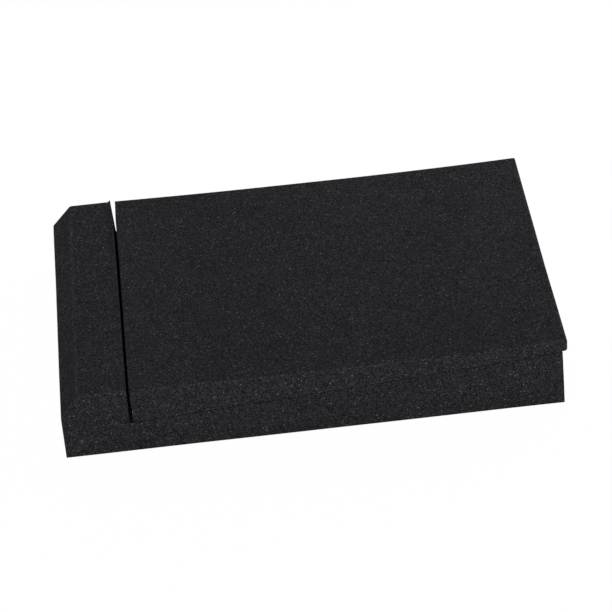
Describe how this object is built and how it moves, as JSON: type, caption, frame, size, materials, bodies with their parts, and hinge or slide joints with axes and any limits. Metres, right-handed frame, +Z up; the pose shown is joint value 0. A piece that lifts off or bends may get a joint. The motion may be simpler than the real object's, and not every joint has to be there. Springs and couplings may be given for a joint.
{
  "type": "speaker isolation pad",
  "caption": "Foam isolation pad for a small speaker: a base with a bevelled stop rail and a sloping seat, and a loose tapered wedge that lies on the seat and levels the top.",
  "frame": {"origin": "on the desk plane, under the middle of the pad's whole footprint", "axes": "+X along the length, from the stop rail to the open end; +Y across the width, towards the back of the picture; +Z up"},
  "size_m": [0.302, 0.2, 0.045],
  "materials": {
    "charcoal_foam": "matte"
  },
  "bodies": {
    "root": {"base": "charcoal_foam", "wedge": "charcoal_foam"}
  },
  "joints": []
}
